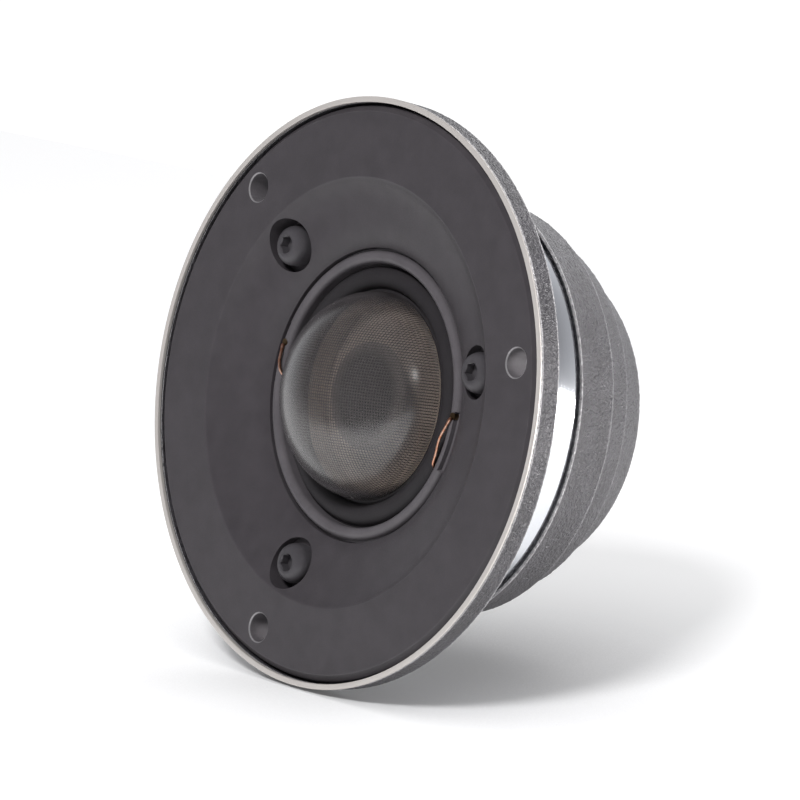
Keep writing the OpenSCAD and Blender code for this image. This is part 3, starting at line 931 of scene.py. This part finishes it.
WIDE_R, WIDE_Z = 30.28, -12.7       # where the shell's stepped side starts
NARROW_R, NARROW_Z = 20.25, -32.55  # and where it ends
shell_outer = rounded([
    (SLEEVE_R + 0.05, -12.75), (30.06, -12.38, 0.15), (WIDE_R, WIDE_Z, 0.25),
    (28.2, -20.2, 0.45), (27.9, -20.6, 0.3), (27.3, -20.78, 0.25), (27.08, -21.15, 0.3),
    (25.25, -25.45, 0.45), (24.95, -25.85, 0.3), (24.36, -26.04, 0.25), (24.14, -26.4, 0.3),
    (21.3, -31.2, 0.8), (NARROW_R, NARROW_Z, 0.8), (BACK_R, BACK_EDGE_Z), (BACK_R, -30),
    (CHAMBER_R, CHAMBER_Z), (MOTOR_R, CHAMBER_Z), (MOTOR_R, MOTOR_SEAT), (SLEEVE_R + 0.05, MOTOR_SEAT)], 5)


def shell_weight(p):
    """1 on the shell's stepped side, where it is rough, and 0 on its seat, its inside and its back."""
    r, z = np.hypot(p[:, 0], p[:, 1]), p[:, 2]
    front = np.clip((-13.9 - z) / 0.8, 0, 1)
    slope = WIDE_R + (z - WIDE_Z) * (WIDE_R - NARROW_R) / (WIDE_Z - NARROW_Z)
    return front * np.clip((r - slope + 3.2) / 0.6, 0, 1) * np.clip((r - 18.6) / 0.8, 0, 1)


skin = lathe("rear_shell_skin", fine(shell_outer, ROUGH_STEP), ROUGH_SEGMENTS, sharp=75,
             relief=masked(wrinkle(WRINKLE_SIZE, WRINKLE_HEIGHT), shell_weight))
fit(skin, CAST, "cast_black", "housing", "rear_shell")

BACK_WALL_Z = -29.6
POCKET_IN, POCKET_END = 3.2, SHELL_END + 3.1    # the pockets that the rear screws' heads sit in
COLUMN_R, COLUMN_TOP = 3, -19.8
back = lathe("rear_shell_back", [
    (0, SHELL_END + 0.03), (BACK_R, BACK_EDGE_Z), (BACK_R, BACK_WALL_Z), (0, BACK_WALL_Z)], 256)
slot_cut = rounded_box("cutter_slot", (-8, -3.5, SHELL_END - 1), (8, 3.5, -28), 0.4)
pockets = lathe("pocket", [
    (0, SHELL_END - 1), (POCKET_IN + 0.2, SHELL_END - 1), (POCKET_IN + 0.2, SHELL_END),
    (POCKET_IN, SHELL_END + 0.2), (POCKET_IN, POCKET_END), (0, POCKET_END)], 64, spots=REAR_SPOTS)
cut(back, drill(CLEAR_R, -40, -20, REAR_SPOTS), pockets, slot_cut)
columns = lathe("columns", [(CLEAR_R, -30), (COLUMN_R, -30), (COLUMN_R, COLUMN_TOP), (CLEAR_R, COLUMN_TOP)],
                64, spots=REAR_SPOTS)
back = joined("rear_shell_back", back, columns)
fit(back, CAST, "cast_black", "housing", "rear_shell")

back_screws = screws("rear_screws_set", REAR_SPOTS, POCKET_END, -17, facing=-1)
fit(back_screws, SCREW, "screw_black", "housing", "rear_screws")

# ---------------------------------------------------------------- terminals
BLOCK_FRONT = -29.5
block = joined("terminal_block_body",
               rounded_box("a", (-7.95, -3.45, SHELL_END - 1.1), (7.95, 3.45, BLOCK_FRONT), 0.3),
               rounded_box("b", (-9.5, -4.7, SHELL_END - 1.2), (9.5, 4.7, SHELL_END), 0.45))
fit(block, PLASTIC, "terminal_black", "housing", "terminal_block")


def tab(name, x, width, material, slot, node):
    """Push-on tab with a bevelled tip and a locking dimple."""
    obj = rounded_box(name, (x - 0.4, -width / 2, -41), (x + 0.4, width / 2, -29), 0.28, 2)
    dimple = lathe("dimple", [(0, x + 0.25), (0.55, x + 0.25), (0.75, x + 0.6), (0, x + 0.6)], 48)
    for v in dimple.data.vertices:
        px, py, pz = v.co.x / MM, v.co.z / MM, -v.co.y / MM
        v.co = Vector(to_frame([(pz, py, px - 38)])[0])
    cut(obj, dimple)
    return fit(obj, material, slot, "housing", node)


tab("terminal_tab_positive", 5.5, 4.8, GOLD, "terminal_gold", "terminal_positive")
tab("terminal_tab_negative", -5.5, 2.8, TIN, "terminal_tin", "terminal_negative")
rivets = lathe("terminal_rivet_heads", rounded([
    (0, BLOCK_FRONT), (0.78, BLOCK_FRONT), (0.78, -34.5), (1.35, -34.55, 0.1), (1.3, -34.9, 0.2),
    (0.5, -35.1, 0.1), (0.4, -34.9), (0, -34.9)]), 48, spots=((-2.2, 0, 0), (2.2, 0, 0)))
fit(rivets, TIN, "zinc_steel", "housing", "terminal_rivets")

# ---------------------------------------------------------------- finishes of the CAD nodes that stay
for node, material in {
        "diaphragm_frame": FRAME, "lead_eyelets": BRASS, "top_plate": STEEL, "ring_magnet": NICKEL,
        "yoke": STEEL, "copper_cap": COPPER, "pole_damper": FELT, "chamber_gasket": FOAM,
        "chamber_felt": WHITE_FELT, "wire_positive": RED_WIRE, "wire_negative": BLACK_WIRE,
        "voice_coil_former": AMBER, "voice_coil_winding": WINDING}.items():
    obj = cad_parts[node]
    obj.data.materials.clear()
    obj.data.materials.append(material)

# ---------------------------------------------------------------- stage, light and camera
LEAN = math.radians(12.3)
FLOOR_NORMAL = Vector((0, -math.sin(LEAN), math.cos(LEAN)))
FLOOR_DROP = 0.0388
FLOOR_ACROSS, FLOOR_DOWN = (-1.4, 1.6), (-0.25, 0.12)
FLOOR_GLOW = 0.61


def floor():
    """Pale sheet under the flange's rear edge, a little self-lit as a lit table is, with a painted contact
    shadow where its glow dims near the tweeter.
    """
    downhill = Vector((0, -math.cos(LEAN), -math.sin(LEAN)))
    origin = FLOOR_NORMAL * -FLOOR_DROP
    (left, right), (top, low) = FLOOR_ACROSS, FLOOR_DOWN
    corners = [origin + Vector((x, 0, 0)) + downhill * d
               for x, d in ((left, top), (right, top), (right, low), (left, low))]
    mesh = bpy.data.meshes.new("floor")
    mesh.from_pydata(corners, [], [(0, 1, 2, 3)])
    obj = bpy.data.objects.new("floor", mesh)
    bpy.context.scene.collection.objects.link(obj)
    p = Paint("floor_white")
    p.colour(p.noise(40.0), linear(186, 186, 187), linear(190, 190, 191))
    p.shader.inputs["Roughness"].default_value = 0.9
    p.shader.inputs["Emission Color"].default_value = (1, 1, 1, 1)
    # Ambient occlusion dims the glow near the tweeter: a painted contact shadow
    near = p.add("ShaderNodeAmbientOcclusion", samples=8)
    near.inputs["Distance"].default_value = 0.05
    glow_with_painted_shadow = p.ranged(near.outputs["AO"], 0.1 * FLOOR_GLOW, FLOOR_GLOW, 0.35, 0.95)
    p.link(glow_with_painted_shadow, p.shader.inputs["Emission Strength"])
    obj.data.materials.append(p.material)


floor()

# a room that goes from dim to bright along BRIGHT_WAY; the camera itself sees it white
BRIGHT_WAY = Vector((-0.45, 0.82, -0.6)).normalized()
DIM, BRIGHT = (0.16, 0.16, 0.17, 1), (0.9, 0.91, 0.94, 1)
world = bpy.data.worlds.new("studio")
bpy.context.scene.world = world
world.use_nodes = True
tree = world.node_tree
tree.nodes.clear()
coordinate = tree.nodes.new("ShaderNodeTexCoord")
ramp = tree.nodes.new("ShaderNodeValToRGB")
around = tree.nodes.new("ShaderNodeBackground")
shown = tree.nodes.new("ShaderNodeBackground")
which = tree.nodes.new("ShaderNodeLightPath")
pick = tree.nodes.new("ShaderNodeMixShader")
out = tree.nodes.new("ShaderNodeOutputWorld")
lift = tree.nodes.new("ShaderNodeMapRange")
lift.inputs["From Min"].default_value = -1
aim = tree.nodes.new("ShaderNodeVectorMath")
aim.operation = "DOT_PRODUCT"
aim.inputs[1].default_value = BRIGHT_WAY
tree.links.new(coordinate.outputs["Generated"], aim.inputs[0])
tree.links.new(aim.outputs["Value"], lift.inputs["Value"])
tree.links.new(lift.outputs[0], ramp.inputs[0])
tree.links.new(ramp.outputs[0], around.inputs[0])
ramp.color_ramp.elements[0].position = 0.45
ramp.color_ramp.elements[0].color = DIM
ramp.color_ramp.elements[1].position = 0.66
ramp.color_ramp.elements[1].color = BRIGHT
shown.inputs[0].default_value = (1, 1, 1, 1)
shown.inputs[1].default_value = 1.1
tree.links.new(which.outputs["Is Camera Ray"], pick.inputs[0])
tree.links.new(around.outputs[0], pick.inputs[1])
tree.links.new(shown.outputs[0], pick.inputs[2])
tree.links.new(pick.outputs[0], out.inputs[0])

AIM = Vector((0.0053, 0.0025, 0.0003))


def softbox(name, place, size, watts, colour=(1, 1, 1), mirrored=True):
    """Round area light aimed at the tweeter. Reflections leave it out when it isn't mirrored."""
    light = bpy.data.lights.new(name, "AREA")
    light.shape, light.size, light.energy, light.color = "DISK", size, watts, colour
    obj = bpy.data.objects.new(name, light)
    obj.location = place
    obj.visible_glossy = mirrored
    obj.rotation_mode = "QUATERNION"
    obj.rotation_quaternion = (AIM - Vector(place)).to_track_quat("-Z", "Y")
    bpy.context.scene.collection.objects.link(obj)


softbox("key", (0.33, -0.78, 0.53), 0.22, 12, mirrored=False)
softbox("glint", (0.75, -0.12, 0.46), 0.05, 0.25)
softbox("side", (0.8, 0.6, 0.06), 0.35, 13, (1, 0.98, 0.97))
softbox("kick", (0.22, 0.12, -0.01), 0.1, 0.5)
softbox("bounce", (0.05, -0.5, -0.2), 0.3, 0.9, mirrored=False)
softbox("back", (-0.35, 0.8, 0.6), 0.4, 1.5)

DISTANCE, FOCAL_LENGTH = 0.7837, 262.8
SIDE, HEIGHT, ROLL = math.radians(49.47), math.radians(3.303), math.radians(9.602)

camera = bpy.data.cameras.new("camera")
camera.sensor_width, camera.lens = 36, FOCAL_LENGTH
camera.clip_start, camera.clip_end = 0.05, 20
eye = bpy.data.objects.new("camera", camera)
back_way = Vector((math.sin(SIDE) * math.cos(HEIGHT), -math.cos(SIDE) * math.cos(HEIGHT), math.sin(HEIGHT)))
eye.location = AIM + back_way * DISTANCE
eye.rotation_mode = "QUATERNION"
eye.rotation_quaternion = (Matrix.Rotation(ROLL, 3, -back_way).inverted() @
                           (-back_way).to_track_quat("-Z", "Y").to_matrix()).to_quaternion()
bpy.context.scene.collection.objects.link(eye)
bpy.context.scene.camera = eye
bpy.context.scene.view_settings.view_transform = "Standard"
